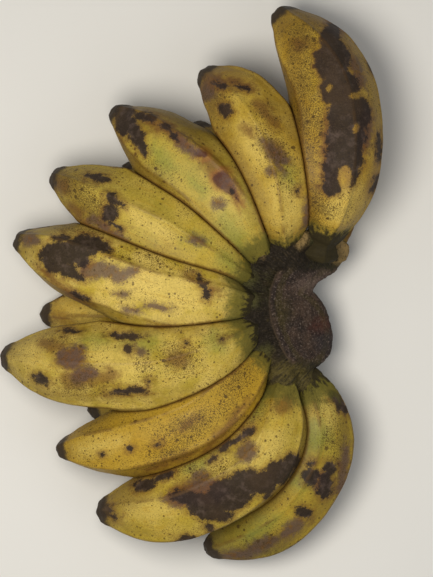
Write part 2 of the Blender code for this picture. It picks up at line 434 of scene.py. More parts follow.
def soft_least(first, second):
    """The smaller of two shares, rounded off where they are nearly equal."""
    near = np.maximum(EDGE_SOFTNESS - np.abs(first - second), 0) / EDGE_SOFTNESS
    return np.minimum(first, second) - near**2 * EDGE_SOFTNESS / 4


def swollen(name, centres, skin, shares):
    """The skin with its swelling beside its neighbours, which fades out at the stalk and the tip."""
    nearest = np.min([distance_outside(skin, other) for other in neighbours(name)], axis=0)
    beside = np.exp(-((np.maximum(nearest, 0) / SWELL_REACH) ** 2))
    inner = np.clip(np.minimum(shares, 1 - shares) / SWELL_FREE_ENDS - 1, 0, 1)
    return centres + (1 + SWELL_SHARE * beside * inner)[:, None] * (skin - centres)


def pressed_skin(name, angles, shares):
    """The skin, flattened where it presses on other fruits and where it lies on the table."""
    centres, skin = fruit_skin(name, angles, shares)
    skin = swollen(name, centres, skin, shares)
    reach = np.ones(len(skin))
    for other in neighbours(name):
        reach = soft_least(reach, reach_beside(centres, skin, name, other))
    skin = centres + reach[:, None] * (skin - centres)
    table_height = ORIGIN[2]
    below = skin[:, 2] < table_height
    to_table = (centres[below, 2] - table_height) / (centres[below, 2] - skin[below, 2])
    skin[below] = centres[below] + to_table[:, None] * (skin[below] - centres[below])
    skin[below, 2] = table_height
    return skin


for name in ("banana_outer_5", "banana_inner_4"):
    print(name, "is", round(LENGTHS[name]), "mm long and presses on", ", ".join(neighbours(name)))

# %% [markdown]
# ## The crown
#
# The crown is a crescent-shaped cushion of tough tissue. A knife took it off the stalk with one round
# stroke, which left a slanted, hollow face. The stalks of the fruits run into it in short, thick necks.

# %% Dimensions of the crown
CROWN_SPINE = ((88, 19, 36), (70, 16, 38), (50, -3, 38), (59, -28, 36), (57, -52, 34))
CROWN_HALF_WIDTH = (10, 12, 14, 20, 8)
CROWN_HALF_HEIGHT = (14, 19, 21, 21, 16)
CROWN_END_ROUNDING = 0.12
KNIFE_RADIUS = 75.0
KNIFE_LENGTH = 220.0
KNIFE_SEGMENTS = 180
KNIFE_POINT = np.array((46.0, -14.0, 54.0))
KNIFE_TILT_DEG = 50.0


def crown_sizes(shares):
    """The crescent's centres, level and upward directions, half widths and half heights."""
    centres, sides, ups = frames_along(CROWN_SPINE, shares)
    widths = along(CROWN_SPINE, CROWN_HALF_WIDTH, shares)[:, 0]
    heights = along(CROWN_SPINE, CROWN_HALF_HEIGHT, shares)[:, 0]
    return centres, sides, ups, widths, heights


def crown_skin(angles, shares):
    """The crescent's surface before the knife cut it."""
    centres, sides, ups, widths, heights = crown_sizes(shares)
    to_end = np.minimum(shares, 1 - shares) / CROWN_END_ROUNDING
    rounding = np.sqrt(np.clip(1 - np.clip(1 - to_end, 0, 1) ** 2, 0, 1))
    across = (widths * np.cos(angles))[:, None] * sides + (heights * np.sin(angles))[:, None] * ups
    return centres + rounding[:, None] * across


def outside_crown(points):
    """How far each point lies outside the crescent: below zero inside it."""
    centres, sides, ups, widths, heights = crown_sizes(np.linspace(0, 1, CURVE_SAMPLES))
    away = points[:, None, :] - centres[None, :, :]
    nearest = np.linalg.norm(away, axis=2).argmin(axis=1)
    away = away[np.arange(len(points)), nearest]
    level = (away * sides[nearest]).sum(axis=1) / widths[nearest]
    upward = (away * ups[nearest]).sum(axis=1) / heights[nearest]
    return (np.hypot(level, upward) - 1) * (widths + heights)[nearest] / 2


knife_tilt = math.radians(KNIFE_TILT_DEG)
knife_outward = np.array((math.cos(knife_tilt), 0.0, math.sin(knife_tilt)))
knife_along = np.array((-math.sin(knife_tilt), 0.0, math.cos(knife_tilt)))
knife_axis = KNIFE_POINT + KNIFE_RADIUS * knife_outward


def under_cut(points):
    """How far each point lies under the face that the knife left."""
    away = points - knife_axis
    across = away - (away @ knife_along)[:, None] * knife_along
    return np.linalg.norm(across, axis=1) - KNIFE_RADIUS


print("the knife's stroke leans", KNIFE_TILT_DEG, "degrees back from upright")

# %% [markdown]
# ## Marks on the peel
#
# Each fruit carries the marks that the photograph shows on it, drawn as ellipses from above: the pixel of
# the centre, the half length and half width in pixels, and how far the long way is turned from level. A mark
# is kept as a distance, below zero inside it, so that the material can give it a ragged edge.

# %% The marks, as seen from above
MARKS = {
    "banana_outer_1": {
        "bruise": [
            (331, 34, 12, 9, 80), (333, 60, 22, 18, 90), (340, 88, 20, 19, 90), (349, 114, 22, 22, 80),
            (346, 136, 20, 21, 90), (343, 156, 14, 18, 90), (331, 172, 18, 8, 95), (331, 187, 9, 10, 60),
            (357, 165, 15, 5, 72), (351, 181, 8, 4, 60), (379, 148, 14, 3, 92), (375, 184, 10, 3, 72),
        ],
        "pale": [
            (355, 96, 5, 3, 0), (329, 88, 4, 2, 60), (345, 177, 11, 6, 90), (352, 45, 8, 2, -65),
            (356, 128, 5, 3, 70),
        ],
        "smudge": [(366, 130, 22, 5, 85), (358, 72, 16, 4, -70)],
        "freckle": [(303, 44, 22, 16, 100), (309, 115, 50, 15, 88), (318, 200, 20, 14, 90)],
        "stain": [(326, 150, 34, 5, 90), (302, 44, 10, 6, 0), (338, 26, 12, 8, -20)],
        "dull": [(296, 95, 62, 7, 93), (300, 22, 26, 12, 20), (308, 190, 40, 8, 90)],
        "cream": [(346, 205, 22, 16, 60)],
    },
    "banana_outer_2": {
        "stain": [
            (212, 80, 15, 9, -20), (240, 84, 16, 6, -20), (262, 108, 12, 6, -50), (272, 122, 10, 5, -50),
            (276, 152, 12, 8, -60), (248, 130, 8, 5, -40),
        ],
        "bruise": [
            (226, 110, 8, 7, -60), (220, 86, 10, 3, -20), (243, 88, 9, 2, -15), (298, 191, 3, 2, 80),
        ],
        "smudge": [
            (267, 146, 9, 3, -60), (275, 153, 8, 4, -45), (284, 160, 7, 3, -20), (280, 167, 6, 2, -50),
            (271, 172, 4, 3, 0), (206, 92, 8, 7, 0),
        ],
        "freckle": [(215, 95, 18, 10, -60), (275, 150, 50, 14, -65)],
        "green": [(288, 172, 14, 7, -70)],
        "dull": [(212, 92, 18, 12, -50), (232, 150, 50, 5, -62), (283, 120, 26, 6, -55)],
        "cream": [(255, 142, 24, 12, -60), (285, 205, 26, 14, -75)],
    },
    "banana_outer_3": {
        "bruise": [
            (125, 112, 11, 9, -10), (133, 130, 20, 8, -62), (141, 147, 9, 5, -60), (146, 117, 12, 5, -14),
            (122, 122, 14, 7, -75), (166, 127, 8, 3, -25), (174, 137, 6, 3, -40), (233, 193, 6, 1, -62),
        ],
        "red": [(201, 154, 7, 4, -5), (222, 180, 9, 9, 0), (235, 193, 10, 2, -68)],
        "stain": [(160, 126, 18, 8, -28), (180, 140, 16, 6, -38), (214, 170, 16, 9, -48)],
        "smudge": [(218, 203, 6, 4, 0), (228, 184, 8, 6, -60), (186, 145, 14, 5, -38)],
        "green": [(232, 232, 22, 9, -60), (196, 184, 14, 5, -45), (162, 158, 18, 6, -45)],
        "freckle": [(150, 160, 30, 4, -45)],
        "dull": [(130, 122, 22, 14, -40), (196, 140, 44, 4, -42), (150, 180, 34, 5, -50)],
        "cream": [(226, 212, 22, 10, -60)],
    },
    "banana_outer_4": {
        "bruise": [
            (99, 178, 12, 4, -8), (112, 198, 9, 5, -48), (110, 213, 8, 9, 0), (123, 205, 4, 2, -40),
            (115, 225, 9, 2, -22), (88, 176, 5, 3, 0),
        ],
        "stain": [(79, 216, 18, 6, -50), (62, 185, 8, 8, 0)],
        "green": [(197, 240, 12, 4, -10), (228, 262, 12, 6, -50)],
        "smudge": [(196, 240, 8, 3, -10), (108, 230, 20, 3, -35)],
        "freckle": [(72, 184, 22, 13, -20), (92, 206, 20, 12, -45)],
        "dull": [(62, 184, 18, 10, -25), (96, 218, 34, 6, -45)],
        "cream": [(150, 224, 26, 7, -35)],
    },
    "banana_outer_5": {
        "bruise": [
            (56, 254, 16, 12, 0), (51, 264, 12, 7, -35), (71, 252, 18, 13, 0), (88, 244, 17, 9, -10),
            (101, 247, 11, 6, -8), (82, 260, 9, 8, 0), (64, 268, 15, 7, -30), (76, 276, 10, 3, -20),
            (201, 283, 9, 3, -62), (206, 292, 8, 3, -88), (80, 296, 11, 3, -22), (62, 238, 9, 4, 0),
        ],
        "smudge": [
            (108, 271, 14, 6, -12), (119, 276, 9, 6, 0), (131, 272, 9, 4, 20), (92, 270, 12, 9, 0),
            (158, 307, 11, 2, -12), (131, 310, 7, 2, -5), (122, 294, 6, 2, 0), (30, 240, 8, 5, 0),
        ],
        "stain": [(189, 276, 8, 4, -30), (60, 285, 30, 4, -40), (214, 290, 8, 5, 0)],
        "freckle": [(80, 233, 26, 7, -5), (118, 256, 18, 8, -10), (165, 262, 30, 6, -20)],
        "dull": [(30, 242, 10, 12, 0), (110, 234, 60, 5, -10), (70, 294, 40, 5, -28)],
        "cream": [(160, 288, 50, 14, -12)],
    },
    "banana_outer_6": {
        "bruise": [
            (42, 380, 8, 5, -15), (126, 336, 18, 3, -3), (128, 391, 18, 3, 3), (38, 376, 6, 4, 0),
            (128, 349, 6, 4, -50), (186, 343, 3, 2, 0), (150, 381, 3, 2, 0), (70, 331, 9, 2, -10),
            (222, 339, 3, 3, 0),
        ],
        "smudge": [
            (70, 358, 12, 9, -12), (76, 352, 10, 6, 20), (84, 374, 12, 6, 20), (140, 352, 5, 2, -40),
        ],
        "stain": [
            (54, 346, 16, 7, -15), (80, 378, 20, 10, 5), (105, 377, 14, 8, 20), (70, 360, 17, 13, -12),
            (178, 360, 12, 8, 0),
        ],
        "green": [(140, 342, 20, 7, 0), (216, 342, 10, 10, 0), (96, 340, 14, 5, 0)],
        "freckle": [
            (180, 357, 24, 15, 0), (85, 386, 24, 8, 0), (146, 368, 6, 16, 0), (60, 340, 14, 6, 0),
        ],
        "dull": [(100, 395, 60, 4, 0), (120, 328, 70, 3, -2)],
        "cream": [(120, 362, 26, 16, 0), (32, 356, 12, 12, 0)],
    },
    "banana_outer_7": {
        "bruise": [(130, 449, 4, 2, 15), (102, 454, 2, 2, 0), (158, 444, 4, 2, 10)],
        "stain": [(222, 432, 40, 4, 50), (170, 462, 30, 4, 20), (188, 424, 10, 3, 35)],
        "freckle": [(190, 426, 28, 14, 35), (170, 447, 26, 9, 20), (235, 388, 30, 12, 62)],
        "cream": [(100, 446, 22, 6, 10)],
    },
    "banana_outer_8": {
        "bruise": [
            (144, 485, 11, 7, 15), (163, 476, 12, 4, 25), (184, 497, 14, 7, -5), (205, 506, 20, 13, -12),
            (229, 495, 22, 17, 8), (246, 484, 18, 14, 15), (262, 482, 16, 11, 25), (280, 472, 17, 12, 30),
            (293, 461, 9, 8, 38), (270, 492, 10, 3, 55), (219, 515, 14, 6, -8), (243, 436, 14, 4, 36),
            (228, 446, 10, 3, 38), (214, 458, 6, 3, 30), (210, 528, 6, 3, -30), (186, 539, 9, 3, 8),
            (106, 510, 8, 6, 0), (112, 516, 7, 2, -20),
        ],
        "smudge": [
            (176, 500, 13, 7, -5), (202, 476, 8, 5, 0), (247, 452, 10, 8, 40), (205, 490, 18, 10, 0),
        ],
        "freckle": [
            (183, 469, 18, 7, 15), (250, 420, 22, 10, 50), (215, 470, 14, 7, 20), (205, 455, 20, 6, 30),
        ],
        "green": [(212, 450, 18, 6, 30), (256, 402, 16, 8, 60), (196, 466, 12, 5, 20)],
        "stain": [(200, 492, 30, 14, 0), (285, 404, 12, 8, 60), (240, 538, 40, 3, 25)],
        "dull": [(262, 400, 30, 8, 60), (240, 534, 56, 4, 28), (128, 500, 20, 5, 30)],
        "cream": [(262, 448, 22, 12, 45), (150, 508, 24, 10, 0), (215, 466, 14, 6, 15)],
    },
    "banana_outer_9": {
        "bruise": [
            (340, 403, 15, 6, -50), (311, 477, 9, 10, 0), (326, 484, 15, 8, 78), (330, 467, 8, 7, 0),
            (304, 513, 9, 5, -28), (313, 463, 6, 3, 0),
        ],
        "smudge": [
            (262, 545, 16, 5, 25), (236, 555, 16, 4, 5), (320, 480, 10, 5, 70), (343, 470, 24, 3, 80),
            (292, 528, 14, 5, 40),
        ],
        "green": [(312, 434, 16, 14, 0), (303, 482, 12, 8, 0), (262, 528, 20, 6, 30)],
        "freckle": [(335, 440, 30, 9, 95), (262, 545, 24, 8, 25), (320, 400, 14, 8, 0)],
        "pale": [(321, 463, 5, 3, 20), (333, 478, 3, 2, 80)],
        "dull": [(268, 545, 44, 9, 25), (346, 440, 40, 5, 92), (322, 500, 24, 11, 55)],
        "cream": [(322, 412, 14, 20, 0)],
    },
    "banana_inner_1": {
        "dull": [(348, 238, 14, 22, 0)],
        "stain": [(350, 232, 10, 10, 0)],
    },
    "banana_inner_4": {
        "stain": [(60, 318, 12, 3, -5)],
        "cream": [(85, 312, 14, 5, -5)],
    },
    "crown": {
        "olive_patch": [(283, 312, 12, 7, 90)],
        "grey_patch": [(310, 283, 14, 5, 15), (329, 265, 8, 7, 0)],
        "blue_patch": [(325, 341, 11, 9, 0)],
        "red_patch": [(320, 325, 10, 6, 20)],
        "tan_patch": [
            (261, 249, 7, 3, 90), (299, 244, 4, 2, 90), (341, 247, 17, 12, 90), (304, 238, 8, 4, 80),
        ],
        "green_patch": [
            (246, 279, 9, 5, 0), (248, 301, 9, 5, 0), (245, 331, 9, 6, 0), (263, 354, 8, 5, 60),
            (320, 240, 8, 12, 0),
        ],
        "neck_patch": [(284, 380, 26, 17, 10), (262, 364, 12, 9, 60), (308, 382, 9, 10, 0)],
    },
}
print(sum(len(found) for kinds in MARKS.values() for found in kinds.values()), "marks drawn")

# %% Distances to marks
MARK_KINDS = ("bruise", "smudge", "stain", "red", "green", "freckle", "pale", "dull", "cream")
FAR_FROM_MARKS = 40.0
UNDERSIDE_PENALTY = 60.0
EDGE_ON = 0.15
LEAST_SLOPE = 1e-6


def ellipse_distance(ahead, across, long, wide):
    """About how far a point lies outside an ellipse."""
    out = np.hypot(ahead / long, across / wide)
    slope = np.hypot(ahead / long**2, across / wide**2)
    return out * (out - 1) / np.maximum(slope, LEAST_SLOPE)


def drawn_marks(name, kind, pixels, normals):
    """The distance to the nearest mark of a kind that was drawn from above, and far off underneath."""
    nearest = np.full(len(pixels), FAR_FROM_MARKS)
    for across_photo, down_photo, long, wide, turn_deg in MARKS.get(name, {}).get(kind, []):
        turn = math.radians(turn_deg)
        away = (pixels - (across_photo, down_photo)) * MM_PER_PIXEL
        ahead = away[:, 0] * math.cos(turn) - away[:, 1] * math.sin(turn)
        across = away[:, 0] * math.sin(turn) + away[:, 1] * math.cos(turn)
        found = ellipse_distance(ahead, across, long * MM_PER_PIXEL, wide * MM_PER_PIXEL)
        nearest = np.minimum(nearest, found)
    return nearest + UNDERSIDE_PENALTY * np.maximum(EDGE_ON - normals[:, 2], 0)


# %% [markdown]
# The sides that the photograph hides get marks at random places, from a fixed seed for each fruit and
# kind, so that the hand looks handled from every side.

# %% Marks on the hidden sides
HIDDEN_MARKS = {"bruise": 5, "smudge": 3, "stain": 4, "green": 2, "freckle": 4, "dull": 3}
HIDDEN_LONG = (2.0, 9.0)
HIDDEN_SLIMNESS = (0.25, 0.8)
HIDDEN_SHARES = (0.16, 0.93)


def hidden_marks(name, kind, shares, angles, radii, length, normals):
    """The distance to the nearest mark of a kind on the sides that cannot be seen from above."""
    draw = random.Random(name + kind)
    first, last = HIDDEN_SHARES
    hidden = np.where((normals[:, 2] < EDGE_ON) & (shares > first) & (shares < last))[0]
    nearest = np.full(len(shares), FAR_FROM_MARKS)
    for _ in range(HIDDEN_MARKS.get(kind, 0)):
        centre = hidden[draw.randrange(len(hidden))]
        long = draw.uniform(*HIDDEN_LONG)
        wide = long * draw.uniform(*HIDDEN_SLIMNESS)
        ahead = (shares - shares[centre]) * length
        turned = np.mod(angles - angles[centre] + math.pi, 2 * math.pi) - math.pi
        across = turned * radii
        nearest = np.minimum(nearest, ellipse_distance(ahead, across, long, wide))
    return nearest


# %% [markdown]
# ## Building the fruits
#
# Each fruit starts as a ball with a pole at each end, where the stalk and the tip are. Its points move
# onto the pressed skin, then a little in or out for the dents and swellings of a real fruit. A fine cord is
# raised along each ridge, wrinkles run round the neck, and the tip gets a lobed nub. What the material has
# to know about each point is stored with it as an attribute, in millimetres wherever it is a distance.

# %% Points, normals and attributes of a mesh
FINE_SIDES = 128
FINE_RINGS = 168
RING_CROWDING = 0.09


def warped_ball(name, sides, rings, skin_at):
    """A ball moved onto a skin, with each point's angle round the skin and share of its length."""
    bm = bmesh.new()
    bmesh.ops.create_uvsphere(bm, u_segments=sides, v_segments=rings, radius=1.0)
    ball = np.array([v.co for v in bm.verts])
    angles = np.arctan2(ball[:, 1], ball[:, 0])
    even = 1 - np.arccos(np.clip(ball[:, 2], -1, 1)) / math.pi
    shares = even - RING_CROWDING * np.sin(2 * math.pi * even)
    mesh = bpy.data.meshes.new(name)
    bm.to_mesh(mesh)
    bm.free()
    place_points(mesh, skin_at(angles, shares))
    return new_object(name, mesh), angles, shares


def place_points(mesh, places):
    """Moves a mesh's points to places in millimetres."""
    mesh.vertices.foreach_set("co", ((places - ORIGIN) * MM).astype(np.float32).ravel())
    mesh.update()
    mesh.shade_smooth()


def points_of(mesh):
    """A mesh's points in millimetres."""
    places = np.empty(len(mesh.vertices) * 3, np.float32)
    mesh.vertices.foreach_get("co", places)
    return places.reshape(-1, 3).astype(float) / MM + ORIGIN


def point_normals(mesh):
    """The direction in which the surface faces at each point."""
    normals = np.empty(len(mesh.vertices) * 3, np.float32)
    mesh.vertices.foreach_get("normal", normals)
    return normals.reshape(-1, 3).astype(float)


def store(mesh, name, values):
    """Keeps one number, or one vector, with each point, for the material to read."""
    kind, field = ("FLOAT", "value") if values.ndim == 1 else ("FLOAT_VECTOR", "vector")
    layer = mesh.attributes.new(name, kind, "POINT")
    layer.data.foreach_set(field, values.astype(np.float32).ravel())


def lumps(points, sizes, seed=0.0):
    """A smooth random height at each point, from lumps of several sizes and heights in millimetres."""
    total = np.zeros(len(points))
    for size, height in sizes:
        total += height * np.array([noise.noise(Vector(p)) for p in points / size + (seed, 0, 0)])
    return total


# %% Dents, ridges and wrinkles
DENTS = ((26.0, 0.6), (9.0, 0.2), (3.2, 0.07))
DENT_SEED_STEP = 7.3
DENT_FADE = 4.0
RIDGE_HEIGHT = 0.55
RIDGE_WIDTH = 1.5
RIDGE_FADE = 12.0
WRINKLE_HEIGHT = 0.22
WRINKLE_SPACING = 3.23
WRINKLE_BEND = ((14.0, 3.0),)
WRINKLES_END = 30.0
TIP_NUB = 3.0
TIP_NUB_HEIGHT = 0.5
TIP_LOBES = 3


def relief(name, number, places, shares, angles, from_ridge, free):
    """How far each point of a fruit is raised or sunk, in millimetres."""
    length = LENGTHS[name]
    height = lumps(places, DENTS, seed=number * DENT_SEED_STEP)
    ends = np.clip(np.minimum(shares, 1 - shares) * length / RIDGE_FADE, 0, 1)
    height = height + RIDGE_HEIGHT * np.exp(-((from_ridge / RIDGE_WIDTH) ** 2)) * ends
    bend = lumps(places, WRINKLE_BEND, seed=number)
    rings = np.sin((shares * length + bend) * 2 * math.pi / WRINKLE_SPACING)
    wrinkled = np.clip(1 - shares * length / WRINKLES_END, 0, 1)
    height = height + WRINKLE_HEIGHT * rings * wrinkled
    nub = np.clip(1 - (1 - shares) * length / TIP_NUB, 0, 1)
    return height * free + TIP_NUB_HEIGHT * nub * np.cos(angles * TIP_LOBES + number)


print("each fruit gets", FINE_SIDES * FINE_RINGS, "faces")

# %% Build one fruit
NOISE_SPACING = 200.0


def contact_distance(places, name):
    """How far each point is from the plane in which its fruit meets the nearest neighbour."""
    own = distance_outside(places, name)
    others = [distance_outside(places, other) - own for other in neighbours(name)]
    return np.min(others, axis=0) / 2


def make_fruit(name, number, look):
    """A fruit's skin with its relief, and with all that the peel's material reads."""
    obj, angles, shares = warped_ball(name + "_peel", FINE_SIDES, FINE_RINGS, partial(pressed_skin, name))
    mesh = obj.data
    places = points_of(mesh)
    radii = radius_at(name, shares)
    length = LENGTHS[name]
    half = math.pi / RIDGES
    from_ridge = np.abs(np.mod(angles + half, 2 * half) - half) * radii
    crease = contact_distance(places, name)
    lift = places[:, 2] - ORIGIN[2]
    free = np.clip(np.minimum(crease, lift) / DENT_FADE, 0, 1)
    raised = relief(name, number, places, shares, angles, from_ridge, free)
    places = places + raised[:, None] * point_normals(mesh)
    place_points(mesh, places)
    normals = point_normals(mesh)
    for leaning in LEANINGS:
        store(mesh, leaning, np.full(len(shares), getattr(look, leaning)))
    store(mesh, "from_neck_dark", shares * length - look.dark_end)
    store(mesh, "from_neck_green", shares * length - look.green_end)
    store(mesh, "from_tip", (1 - shares) * length)
    store(mesh, "from_ridge", from_ridge)
    store(mesh, "crease", np.clip(crease, 0, FAR_FROM_MARKS))
    store(mesh, "upness", normals[:, 2])
    straight = np.stack([shares * length, radii * np.cos(angles), radii * np.sin(angles)], axis=1)
    store(mesh, "straight", straight + (NOISE_SPACING * number, 0, 0))
    pixels = seen_at(places - ORIGIN)
    for kind in MARK_KINDS:
        drawn = drawn_marks(name, kind, pixels, normals)
        hidden = hidden_marks(name, kind, shares, angles, radii, length, normals)
        store(mesh, kind, np.minimum(drawn, hidden))
    return obj


# %% [markdown]
# ## The peel
#
# The peel is one material for all the fruits. It is laid on in layers: the ground colour first, with painted
# shade on its sides and beside its contacts, then dull and green areas, stains and smudges, freckles,
# bruises, the brown lines along ridges and contacts, and last the green and dark neck and the tip. Every
# layer is a share between 0 and 1 that mixes one more colour over the rest. Most shares are 1 where a stored
# distance is small, and their edge is ragged.

# %% Colours of the peel
YELLOW = rgb(178, 154, 50)
CREAM = rgb(206, 179, 90)
OCHRE = rgb(172, 132, 32)
OLIVE = rgb(142, 128, 46)
GREEN = rgb(118, 130, 54)
# Painted shade: the brown laid on the sides that face away from the top and beside the contacts.
FLANK_SHADE = rgb(104, 74, 22)
STAIN = rgb(104, 64, 28)
RED_BROWN = rgb(72, 32, 22)
RED_GLOW = rgb(150, 86, 40)
SMUDGE = rgb(92, 70, 60)
BRUISE = rgb(37, 28, 24)
BRUISE_GREY = rgb(78, 64, 58)
BRUISE_BROWN = rgb(54, 40, 30)
FRECKLE = rgb(72, 52, 18)
CREASE = rgb(96, 66, 26)
NECK_GREEN = rgb(88, 84, 32)
NECK_DARK = rgb(42, 35, 18)
TIP = rgb(52, 42, 32)
TIP_BROWN = rgb(100, 76, 38)
print("colours of the peel are mixed")

# %% Layers of the peel
SHEEN = 0.2


class Peel:
    """Lays colours over one another in a material's nodes."""

    def __init__(self, name):
        self.material = bpy.data.materials.new(name)
        self.material.use_nodes = True
        self.tree = self.material.node_tree
        self.shader = self.tree.nodes["Principled BSDF"]
        self.place = sockets(self.tree, "ShaderNodeTexCoord", {}).outputs["Object"]
        self.broad = cloud(self.tree, self.place, 24.0)
        self.middle = cloud(self.tree, self.place, 85.0, 4.0)
        self.ragged = cloud(self.tree, self.place, 230.0, 6.0, 0.62)
        self.fine = cloud(self.tree, self.place, 900.0, 4.0, 0.6)
        self.pepper = cloud(self.tree, self.place, 1900.0, 2.0, 0.5)
        self.strand = cloud(self.tree, self.lengthwise(0.06, 0.5), 1.0, 4.0, 0.6)
        self.colour = YELLOW

    def lengthwise(self, along_scale, across_scale):
        """A place on the straightened fruit, so that noise can be drawn out along it."""
        straight = attribute(self.tree, "straight", "Vector")
        scale = (along_scale, across_scale, across_scale)
        return sockets(self.tree, "ShaderNodeMapping", {"Vector": straight, "Scale": scale}).outputs[0]

    def times(self, first, second):
        return calc(self.tree, "MULTIPLY", first, second)

    def plus(self, first, second):
        return calc(self.tree, "ADD", first, second)

    def less(self, first, second):
        return calc(self.tree, "SUBTRACT", first, second)

    def fade(self, value, start, end, low=0.0, high=1.0):
        return fade(self.tree, value, start, end, low, high)

    def wander(self, texture, width):
        """Goes to and fro about zero with a noise that lies between 0 and 1."""
        return self.times(self.less(texture, 0.5), width)

    def read(self, name):
        return attribute(self.tree, name)

    def lay(self, share, colour, strength=1.0):
        """Mixes one more colour over the rest."""
        self.colour = mixed(self.tree, self.times(share, strength), self.colour, colour)

    def within(self, name, outer, inner, ragged_mm=0.0, peppered_mm=0.0, streaked_mm=0.0):
        """1 where a stored value is under `inner`, 0 past `outer`, with an edge that wanders."""
        value = self.read(name)
        edges = ((self.strand, streaked_mm), (self.ragged, ragged_mm), (self.pepper, peppered_mm))
        for texture, width in edges:
            if width:
                value = self.plus(value, self.wander(texture, width))
        return self.fade(value, outer, inner)

    def finish(self, roughness, height, strength, depth_mm):
        """Gives the shader its colour, its gloss and the relief of its surface."""
        inputs = {"Height": height, "Strength": strength, "Distance": depth_mm * MM}
        bump = sockets(self.tree, "ShaderNodeBump", inputs).outputs[0]
        given = {"Base Color": self.colour, "Roughness": roughness, "Normal": bump}
        for name, value in (*given.items(), ("Specular IOR Level", SHEEN)):
            fill(self.tree, self.shader.inputs[name], value)
        return self.material


def spots(peel, scale, size, chance):
    """Round freckles in random cells, of which only a share has one."""
    found = sockets(peel.tree, "ShaderNodeTexVoronoi", {"Vector": peel.place, "Scale": scale})
    chosen = sockets(peel.tree, "ShaderNodeSeparateColor", {"Color": found.outputs["Color"]})
    here = calc(peel.tree, "LESS_THAN", chosen.outputs[0], chance)
    edge = peel.plus(found.outputs["Distance"], peel.wander(peel.ragged, 0.4))
    radius = peel.fade(chosen.outputs[1], 0.0, 1.0, size * 0.5, size)
    return peel.times(here, peel.fade(peel.less(edge, radius), 0.06, -0.04))


# %% The ground colour
def lay_ground(peel):
    peel.lay(peel.read("warm"), OCHRE)
    peel.lay(peel.times(peel.fade(peel.broad, 0.35, 0.65), peel.read("olive")), OLIVE)
    peel.lay(peel.times(peel.fade(peel.middle, 0.3, 0.65), peel.read("creamy")), CREAM)
    peel.lay(peel.within("cream", 6.0, -3.0, 10.0), CREAM, 0.65)
    peel.lay(peel.fade(peel.strand, 0.5, 0.72), OCHRE, 0.4)
    # Painted shade: the sides that face away from the top turn brown, as far as each fruit's shaded leaning
    # says.
    facing = peel.plus(peel.read("upness"), peel.wander(peel.middle, 0.5))
    peel.lay(peel.times(peel.fade(facing, 0.85, 0.25), peel.read("shaded")), FLANK_SHADE, 0.6)
    # Painted shade, with some grime: the peel beside the contacts with neighbours turns brown too.
    peel.lay(peel.times(peel.within("crease", 6.0, 0.5, 4.0), peel.read("shaded")), FLANK_SHADE, 0.4)


# %% Green, stains and smudges
def lay_stains(peel):
    # Dull patches and strips along the sides, in the painted-shade brown: partly the peel's own dull tone,
    # partly painted shade.
    peel.lay(peel.within("dull", 7.0, -3.0, 10.0, 4.0), FLANK_SHADE, 0.4)
    peel.lay(peel.within("green", 6.0, -4.0, 12.0), GREEN, 0.5)
    peel.lay(peel.within("stain", 3.5, -3.0, 9.0, 4.0), STAIN, 0.72)
    peel.lay(peel.within("red", 4.0, 0.0, 5.0, 3.0), RED_GLOW, 0.5)
    peel.lay(peel.within("red", 0.9, -0.9, 3.0, 2.0), RED_BROWN, 0.9)
    smudged = mixed(peel.tree, peel.fade(peel.ragged, 0.48, 0.66), SMUDGE, STAIN)
    peel.lay(peel.within("smudge", 3.0, -1.0, 7.0, 8.0), smudged, 0.88)


# %% Freckles
def lay_freckles(peel):
    zone = peel.within("freckle", 6.0, -4.0, 10.0)
    patchy = peel.times(peel.fade(peel.middle, 0.42, 0.68), 0.5)
    often = peel.plus(peel.plus(peel.times(zone, 0.75), patchy), peel.read("freckled"))
    dust = peel.plus(peel.pepper, peel.times(often, 0.135))
    peel.lay(peel.fade(dust, 0.655, 0.71), FRECKLE, 0.75)
    peel.lay(spots(peel, 620.0, 0.42, peel.times(often, 0.3)), FRECKLE, 0.7)
    often = peel.plus(peel.times(zone, 0.3), 0.02)
    peel.lay(spots(peel, 270.0, 0.3, often), FRECKLE, 0.8)


# %% Bruises
def lay_bruises(peel):
    """Lays the bruises, and gives back where the peel is hurt."""
    peel.lay(peel.within("bruise", 3.6, 0.0, 8.0, 5.0), STAIN, 0.5)
    hurt = peel.within("bruise", 0.7, -0.7, 8.5, 5.0)
    hurt = peel.times(hurt, peel.less(1.0, peel.within("pale", 0.9, -0.6, 3.0, 2.0)))
    inside = mixed(peel.tree, peel.fade(peel.ragged, 0.45, 0.75), BRUISE, BRUISE_GREY)
    inside = mixed(peel.tree, peel.fade(peel.broad, 0.5, 0.68), inside, BRUISE_BROWN)
    flecks = peel.times(peel.fade(peel.pepper, 0.4, 0.3), 0.5)
    inside = mixed(peel.tree, flecks, inside, BRUISE_GREY)
    peel.lay(hurt, inside, 0.94)
    return hurt


# %% Lines, neck and tip
def lay_lines_and_ends(peel):
    broken = peel.fade(cloud(peel.tree, peel.lengthwise(0.07, 0.02), 1.0), 0.4, 0.6)
    beside = peel.fade(peel.read("crease"), 14.0, 5.0, 0.3, 1.0)
    ridge = peel.times(peel.within("from_ridge", 1.3, 0.3, 0.8), peel.times(broken, beside))
    peel.lay(ridge, CREASE, 0.6)
    peel.lay(peel.within("crease", 1.2, 0.2, 0.8), CREASE, 0.8)
    peel.lay(peel.within("from_neck_green", 5.0, -3.0, 8.0, 3.0, 14.0), NECK_GREEN, 0.8)
    peel.lay(peel.within("from_neck_dark", 3.0, -2.0, 6.0, 4.0, 22.0), NECK_DARK, 0.95)
    peel.lay(peel.within("from_tip", 15.0, 6.0, 12.0, 6.0), TIP_BROWN, 0.45)
    peel.lay(peel.within("from_tip", 9.5, 6.0, 7.0, 4.0), TIP, 0.96)


